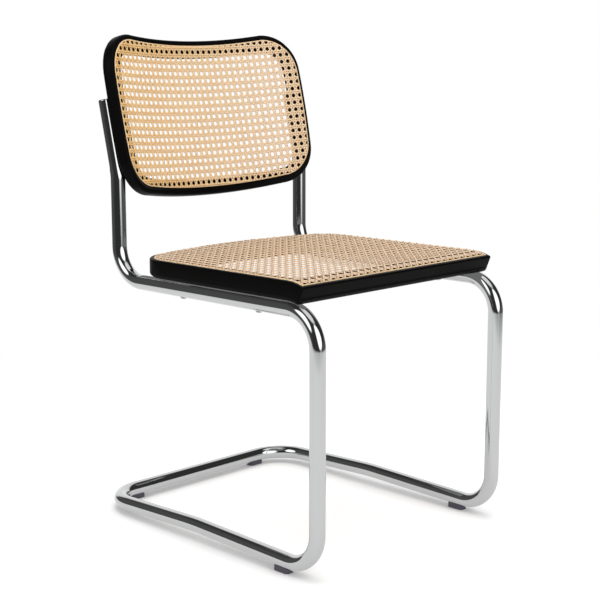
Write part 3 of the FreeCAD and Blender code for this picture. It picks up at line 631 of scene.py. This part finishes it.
def add_strand(sheet, bend, origin, way, span, height, step, wide, thick):
    """Add one ribbon to the sheet: four points round it at each step along the line. Each has its own stretch of
    the finish, by chance, so that no two strands look the same."""
    side = (-way[1], way[0])
    start, end = span
    count = max(2, math.ceil((end - start) / step))
    shift = random.uniform(0, 3.0), random.uniform(0, 3.0)
    base = len(sheet["points"])
    for i in range(count + 1):
        run = start + (end - start) * i / count
        x, y = origin[0] + way[0] * run, origin[1] + way[1] * run
        level = height(x, y)
        for off, rise in RIBBON:
            a, b = x + side[0] * off * wide, y + side[1] * off * wide
            sheet["points"].append(bend(a, b, level + rise * thick) * MM)
        if i:
            for k in range(4):
                a, b = base + (i - 1) * 4 + k, base + (i - 1) * 4 + (k + 1) % 4
                sheet["faces"].append((a, b, b + 4, a + 4))
                u0, u1 = (run - (end - start) / count) * MM + shift[0], run * MM + shift[0]
                v0, v1 = shift[1] + k * wide * MM / 2, shift[1] + (k + 1) * wide * MM / 2
                sheet["maps"] += [(u0, v0), (u0, v1), (u1, v1), (u1, v0)]
    last = base + count * 4
    sheet["faces"] += [(base + 3, base + 2, base + 1, base), (last, last + 1, last + 2, last + 3)]
    sheet["maps"] += [(shift[0], shift[1])] * 8


print("a strand has", len(RIBBON), "sides")

# %% [markdown]
# Seen along a pair, one strand is over where its partner is under, and the strands they cross do the opposite.
# A sine wave with one turn for each pitch does this for both. The diagonals pass half-way between the crossings
# of the pairs: one family rides over the upright pairs and under the level ones, and the other does the
# reverse. The seat's weave measures a little coarser than the back's, so pitch and width are given for each
# panel.

# %% The woven sheet
def weave_sheet(name, finish, outline, bend, surface, middle, pitch, pair, wide, thick):
    """Weave a whole panel. surface is the depth of the frame's face, and middle is where two pairs cross."""
    sheet = {"points": [], "faces": [], "maps": []}
    wave, lift, gap = 0.5 * thick, 1.05 * thick, 0.05
    mid = surface + lift + thick / 2 + gap
    turn_x, turn_y = 2 * math.pi / pitch[0], 2 * math.pi / pitch[1]
    slant = math.hypot(pitch[0], pitch[1])
    lines = 40
    for sign in (-1, 1):
        def upright(a, b):
            return mid - sign * wave * math.sin(turn_y * (b - middle[1]))

        def level(a, b):
            return mid + sign * wave * math.sin(turn_x * (a - middle[0]))

        def diagonal(a, b):
            return mid + sign * lift * math.cos(turn_x * (a - middle[0]))

        off = sign * pair / 2
        for k in range(-lines, lines + 1):
            x = middle[0] + k * pitch[0] + off
            for span in crossings(outline, (x, 0), (0, 1)):
                add_strand(sheet, bend, (x, 0), (0, 1), span, upright, pitch[1] / 4, wide, thick)
            y = middle[1] + k * pitch[1] + off
            for span in crossings(outline, (0, y), (1, 0)):
                add_strand(sheet, bend, (0, y), (1, 0), span, level, pitch[0] / 4, wide, thick)
        way = (pitch[0] / slant, sign * pitch[1] / slant)
        for k in range(-2 * lines, 2 * lines + 1):
            start = (middle[0] + (k + 0.5) * pitch[0], middle[1])
            for span in crossings(outline, start, way):
                add_strand(sheet, bend, start, way, span, diagonal, slant / 4, wide, thick)
    mesh = bpy.data.meshes.new(name)
    mesh.from_pydata(sheet["points"], [], sheet["faces"])
    flat = mesh.uv_layers.new(name="UVMap")
    flat.data.foreach_set("uv", [v for pair in sheet["maps"] for v in pair])
    mesh.shade_smooth()
    mesh.materials.append(finish)
    piece = bpy.data.objects.new(name, mesh)
    bpy.context.scene.collection.objects.link(piece)
    return piece


edge = seat_outline(SEAT_GROOVE + REED_W / 2)
seat_cane = weave_sheet("seat_cane_weave", CANE_SEAT, edge, seat_point, SEAT_THICK,
                        middle=(12.0, 3.9), pitch=(15.5, 15.5), pair=3.8, wide=3.0, thick=0.68)
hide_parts("seat_cane")
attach(seat_cane, "root")
print("seat cane faces:", len(seat_cane.data.polygons))


def back_sheet_point(run, up, depth):
    """Bend a sheet that was cut flat: run is measured along the curve, so the mesh keeps its pitch."""
    return back_point(STILE_DEPTH * math.tan(run / BACK_R), up, depth)


edge = [(BACK_R * math.atan2(x, STILE_DEPTH), up) for x, up in back_reed_line(BACK_GROOVE + REED_W / 2)]
back_cane = weave_sheet("back_cane_weave", CANE_BACK, edge, back_sheet_point, BACK_THICK,
                        middle=(6.33, 2.05), pitch=(12.67, 12.86), pair=3.5, wide=2.4, thick=0.6)
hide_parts("back_cane")
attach(back_cane, "root")
print("back cane faces:", len(back_cane.data.polygons))

# %% [markdown]
# The reed is a strip with a rounded top, tapped into the groove over the edge of the cane. It follows the same
# outline, so it is made as a frame is: rows at small insets, with a dome for the part that stands proud.

# %% Reed
def reed_rows(outline, bend, thick, groove, proud=1.1):
    """Rows for a reed that fills its groove, a hair from its walls, and stands proud of the frame."""
    half, narrower, hair = REED_W / 2, 0.3, 0.05
    foot = thick - GROOVE + 2 * hair
    aside, crown = half - narrower, proud + narrower
    turns = [math.pi * i / 8 for i in range(9)]
    dome = [(groove + half - aside * math.cos(a), thick - narrower + crown * math.sin(a)) for a in turns]
    section = [(groove + hair, foot)] + dome + [(groove + REED_W - hair, foot)]
    return [[bend(a, b, depth) for a, b in outline(inset)] for inset, depth in section]


reeds = []
for name, outline, bend, thick, groove in (("seat_reed", seat_outline, seat_point, SEAT_THICK, SEAT_GROOVE),
                                            ("back_reed", back_reed_line, back_point, BACK_THICK, BACK_GROOVE)):
    rows = reed_rows(outline, bend, thick, groove)
    reed = face_outward(grid_mesh(name, rows, REED, close_rows=True, close_stations=True))
    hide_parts(name.replace("reed", "spline"))
    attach(reed, "root")
    reeds.append(reed)
    print(name, "faces:", len(reed.data.polygons))

# %% [markdown]
# The other solids already have their final shape: the glides, the screws and the loose tenons. They keep their
# meshes and only get their finishes.

# %% Finishes on the solids that stay
for name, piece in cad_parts.items():
    finish = POLYAMIDE if name.startswith("glide") else ZINC if name.endswith("screws") else None
    finish = BEECH if name.endswith("tenons") else finish
    if finish:
        piece.data.materials.clear()
        piece.data.materials.append(finish)
        print(name, "->", finish.name)

# %% [markdown]
# Everything on the chair could mirror in the tube, but the picture's tube keeps clean bands: it mirrors the
# studio, itself and the back's black frame, and neither the seat nor the cane. Blender can do the same, because
# each object says which kinds of ray see it.

# %% What the tube mirrors
for piece in (seat_frame, seat_cane, back_cane, *reeds):
    piece.visible_glossy = False
print("the tube mirrors the studio, itself and the back's frame")

# %% [markdown]
# Under the seat the tube's top shows a soft mid grey, as if a grey card were held over it: it mirrors the seat's
# black underside, which at this grazing angle gives back the white floor. So there is a card, a thin glowing
# sheet that only reflections see, a painted reflection in the seat's place. It lies inside the seat's board,
# just over the tube.

# %% Grey card over the seat tubes
CARD_LIGHT, CARD_OVER_TUBE, CARD_HALF, CARD_FRONT, CARD_REAR = 0.25, 3.0, 221, 25, 405
grey, tree, out = new_finish("grey card")
# The card's glow is a painted reflection, not a lamp.
light = add_node(tree, "ShaderNodeEmission", {"Color": srgb("#FFFFFF"), "Strength": CARD_LIGHT})
tree.links.new(light.outputs[0], out.inputs[0])
card_z = (SEAT_TUBE_Z + TUBE_R + CARD_OVER_TUBE) * MM
card_corners = ((-CARD_HALF, CARD_FRONT), (CARD_HALF, CARD_FRONT),
                (CARD_HALF, CARD_REAR), (-CARD_HALF, CARD_REAR))
card_mesh = bpy.data.meshes.new("grey_card")
card_mesh.from_pydata([(x * MM, (LEG_Y + y) * MM, card_z) for x, y in card_corners], [], [(0, 1, 2, 3)])
card_mesh.materials.append(grey)
card = bpy.data.objects.new("grey_card", card_mesh)
card.visible_camera = card.visible_diffuse = card.visible_shadow = card.visible_transmission = False
bpy.context.scene.collection.objects.link(card)
print("grey card", CARD_OVER_TUBE, "mm over the seat tubes")

# %% [markdown]
# A product picture on white stands on a sheet of white paper. The paper is lit from above, so it holds a soft
# shadow near the chair. For the camera its white is lifted to paper white, except where something stands within
# a few centimetres: there the lift fades, a painted contact shadow that keeps the floor dark beside the tube.
# Further out it becomes plain white, so that no edge shows. Reflections see a sheet of about 2 m all round, and
# past it the dark studio. Each of these is for one kind of ray alone, so none adds light to the chair.

# %% Floor
def studio_floor():
    finish, tree, out = new_finish("white paper, matt")
    rays = add_node(tree, "ShaderNodeLightPath")
    where = add_node(tree, "ShaderNodeTexCoord")
    away = add_node(tree, "ShaderNodeVectorMath", {0: where.outputs["Object"]}, operation="LENGTH")
    plain_from, plain_to, sheet_from, sheet_to = 0.85, 1.5, 1.8, 2.75
    far = add_node(tree, "ShaderNodeMapRange", {
        "Value": away.outputs["Value"], "From Min": plain_from, "From Max": plain_to})
    past = add_node(tree, "ShaderNodeMapRange", {
        "Value": away.outputs["Value"], "From Min": sheet_from, "From Max": sheet_to})
    paint = add_node(tree, "ShaderNodeBsdfDiffuse", {"Color": srgb("#F2F2F2")})
    dim = add_node(tree, "ShaderNodeBsdfDiffuse", {"Color": srgb("#C4C4C4")})
    bare = add_node(tree, "ShaderNodeBsdfDiffuse", {"Color": srgb("#E6E6E6")})
    # Where something stands within contact_mm the lift fades: a painted contact shadow.
    contact_mm, covered, camera_lift, sheet_light = 45, 0.45, 0.31, 0.45
    open_sky = add_node(tree, "ShaderNodeAmbientOcclusion", {"Distance": contact_mm * MM}, samples=16)
    share = add_node(tree, "ShaderNodeMapRange", {
        "Value": open_sky.outputs["AO"], "From Min": covered, "To Max": camera_lift})
    lift = add_node(tree, "ShaderNodeEmission", {"Color": srgb("#FFFFFF"), "Strength": share.outputs[0]})
    glow = add_node(tree, "ShaderNodeEmission", {"Color": srgb("#FFFFFF"), "Strength": sheet_light})
    white = add_node(tree, "ShaderNodeEmission", {"Color": srgb("#FFFFFF"), "Strength": 1.0})
    gone = add_node(tree, "ShaderNodeBsdfTransparent")
    lit = add_node(tree, "ShaderNodeAddShader", {0: paint.outputs[0], 1: lift.outputs[0]})
    sheet = add_node(tree, "ShaderNodeAddShader", {0: dim.outputs[0], 1: glow.outputs[0]})
    seen = add_node(tree, "ShaderNodeMixShader", {0: far.outputs[0], 1: lit.outputs[0], 2: white.outputs[0]})
    mirrored = add_node(tree, "ShaderNodeMixShader", {
        0: past.outputs[0], 1: sheet.outputs[0], 2: gone.outputs[0]})
    look = add_node(tree, "ShaderNodeMath", {
        0: rays.outputs["Is Camera Ray"], 1: rays.outputs["Is Transmission Ray"]}, operation="MAXIMUM")
    mix = add_node(tree, "ShaderNodeMixShader", {
        0: rays.outputs["Is Glossy Ray"], 1: bare.outputs[0], 2: mirrored.outputs[0]})
    mix = add_node(tree, "ShaderNodeMixShader", {0: look.outputs[0], 1: mix.outputs[0], 2: seen.outputs[0]})
    tree.links.new(mix.outputs[0], out.inputs[0])
    return finish


floor_mesh = bpy.data.meshes.new("floor")
reach, count = 12.0, 96
turns = [2 * math.pi * i / count for i in range(count)]
floor_mesh.from_pydata([(reach * math.cos(a), reach * math.sin(a), 0) for a in turns], [], [list(range(count))])
floor_mesh.materials.append(studio_floor())
floor = bpy.data.objects.new("floor", floor_mesh)
bpy.context.scene.collection.objects.link(floor)
print("floor", 2 * reach, "m across")

# %% [markdown]
# The room is the world shader. The camera sees plain white. Matt surfaces get even white light. Reflections see
# the studio: a dark room with a lamp overhead, a white wall behind the chair and a big soft light on each side
# of the camera. They draw the bright strips on the uprights and the white flashes on the tube's bends. Each
# light is an oval of directions with a soft edge, so one function makes them all. Its numbers are its azimuth
# and its elevation, half its width and half its height, all in degrees, then its strength and, where its edge
# is softer than usual, how soft.

# %% Studio
def oval_light(tree, view, azimuth, height, half_width, half_height, strength, soft=0.1):
    """A soft light in the reflected room. Its place and its size are angles in degrees."""
    a = math.radians(azimuth)
    ahead = add_node(tree, "ShaderNodeVectorMath", {
        0: view, 1: (math.cos(a), math.sin(a), 0)}, operation="DOT_PRODUCT")
    aside = add_node(tree, "ShaderNodeVectorMath", {
        0: view, 1: (-math.sin(a), math.cos(a), 0)}, operation="DOT_PRODUCT")
    up = add_node(tree, "ShaderNodeSeparateXYZ", {0: view})
    swing = add_node(tree, "ShaderNodeMath", {
        0: aside.outputs["Value"], 1: ahead.outputs["Value"]}, operation="ARCTAN2")
    rise = add_node(tree, "ShaderNodeMath", {0: up.outputs[2]}, operation="ARCSINE")
    both = add_node(tree, "ShaderNodeCombineXYZ", {0: swing.outputs[0], 1: rise.outputs[0]})
    both = add_node(tree, "ShaderNodeVectorMath", {0: both.outputs[0], 1: (0, math.radians(height), 0)},
                    operation="SUBTRACT")
    both = add_node(tree, "ShaderNodeVectorMath", {
        0: both.outputs[0], 1: (math.radians(half_width), math.radians(half_height), 1)}, operation="DIVIDE")
    size = add_node(tree, "ShaderNodeVectorMath", {0: both.outputs[0]}, operation="LENGTH")
    light = add_node(tree, "ShaderNodeMapRange", {
        "Value": size.outputs["Value"], "From Min": 1 + soft, "From Max": 1 - soft, "To Max": strength})
    return light.outputs[0]


STUDIO = {
    "soft light, right of the camera": (-96, 22.5, 31, 28, 2.0),
    "soft light, left of the camera": (172, 31, 23, 21, 2.0),
    "white wall behind the chair": (46, 14, 40, 42, 1.06, 0.15),
    "low grey panel in front": (-88, -8, 14, 8, 0.4, 0.3),
    "dim strip low on the right": (-20, -6, 55, 12, 0.13, 0.3),
    "dim wall on the left": (115, 10, 60, 40, 0.1, 0.4),
}
LAMP_AZIMUTH, LAMP_HEIGHT, LAMP_EDGE, LAMP_CORE = -85, 76, 28, 18
DARK_ROOM, LAMP_LIGHT, MATT_LIGHT = 0.042, 1.15, 0.78


def studio_world():
    world = bpy.data.worlds.new("studio")
    world.use_nodes = True
    tree = world.node_tree
    tree.nodes.clear()
    out = add_node(tree, "ShaderNodeOutputWorld")
    rays = add_node(tree, "ShaderNodeLightPath")
    where = add_node(tree, "ShaderNodeTexCoord")
    view = where.outputs["Generated"]
    a, h = math.radians(LAMP_AZIMUTH), math.radians(LAMP_HEIGHT)
    aim = (math.cos(a) * math.cos(h), math.sin(a) * math.cos(h), math.sin(h))
    overhead = add_node(tree, "ShaderNodeVectorMath", {0: view, 1: aim}, operation="DOT_PRODUCT")
    light = add_node(tree, "ShaderNodeMapRange", {
        "Value": overhead.outputs["Value"], "From Min": math.cos(math.radians(LAMP_EDGE)),
        "From Max": math.cos(math.radians(LAMP_CORE)), "To Min": DARK_ROOM, "To Max": LAMP_LIGHT}).outputs[0]
    for oval in STUDIO.values():
        more = oval_light(tree, view, *oval)
        light = add_node(tree, "ShaderNodeMath", {0: light, 1: more}, operation="MAXIMUM").outputs[0]
    plain = add_node(tree, "ShaderNodeBackground", {"Color": srgb("#FFFFFF"), "Strength": MATT_LIGHT})
    paper = add_node(tree, "ShaderNodeBackground", {"Color": srgb("#FFFFFF"), "Strength": 1.0})
    room = add_node(tree, "ShaderNodeBackground", {"Color": srgb("#FFFFFF"), "Strength": light})
    pick = add_node(tree, "ShaderNodeMixShader", {
        0: rays.outputs["Is Glossy Ray"], 1: plain.outputs[0], 2: room.outputs[0]})
    seen = add_node(tree, "ShaderNodeMath", {
        0: rays.outputs["Is Camera Ray"], 1: rays.outputs["Is Transmission Ray"]}, operation="MAXIMUM")
    pick = add_node(tree, "ShaderNodeMixShader", {0: seen.outputs[0], 1: pick.outputs[0], 2: paper.outputs[0]})
    tree.links.new(pick.outputs[0], out.inputs[0])
    return world


bpy.context.scene.world = studio_world()
print("world:", bpy.context.scene.world.name, "with", len(STUDIO), "lights and a lamp overhead")

# %% [markdown]
# One large lamp overhead gives the soft shadow under the floor loop. A smaller one behind the camera lights the
# faces that the camera sees. Both are hidden from reflections, because the studio already holds the lights that
# the tube mirrors.

# %% Lamps
def soft_lamp(name, place, aim, size, power):
    """A square lamp that looks at a point."""
    data = bpy.data.lights.new(name, "AREA")
    data.size, data.energy = size, power
    lamp = bpy.data.objects.new(name, data)
    lamp.location = place
    lamp.rotation_euler = (Vector(aim) - Vector(place)).to_track_quat("-Z", "Y").to_euler()
    lamp.visible_glossy = False
    bpy.context.scene.collection.objects.link(lamp)
    return lamp


key = soft_lamp("overhead", (0.0, 0.2, 3.2), (0, 0, 0.3), 2.4, 36.0)
fill = soft_lamp("front_left", (-2.8, -2.6, 1.8), (0, 0, 0.4), 1.6, 28.0)
print("lamps:", key.name, key.data.energy, "W,", fill.name, fill.data.energy, "W")

# %% [markdown]
# The view transform is Standard, so a colour renders as it was written.

# %% Finish
bpy.context.scene.view_settings.view_transform = "Standard"
